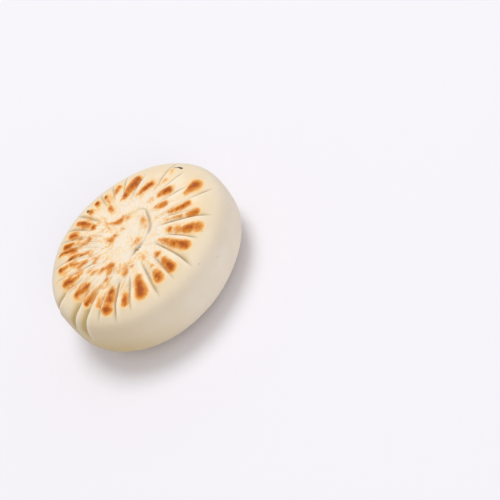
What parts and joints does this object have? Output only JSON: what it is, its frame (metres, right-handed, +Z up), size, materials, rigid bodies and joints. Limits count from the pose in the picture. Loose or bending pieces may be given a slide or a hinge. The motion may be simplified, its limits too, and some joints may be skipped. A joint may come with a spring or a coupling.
{
  "type": "stuffed flatbread",
  "caption": "Thick round stuffed flatbread with a pan-browned, pleated top, a smooth pale side and a flat underside.",
  "frame": {"origin": "middle of the bounding box's floor, on the flat underside", "axes": "+Z up out of the browned, pleated face; -Y towards the viewer of the picture"},
  "size_m": [0.1002, 0.1002, 0.0353],
  "materials": {
    "baked_dough": "soft matt cream dough, browned by the pan on its pleats and underside"
  },
  "bodies": {
    "root": {"bread": "baked_dough"}
  },
  "joints": []
}
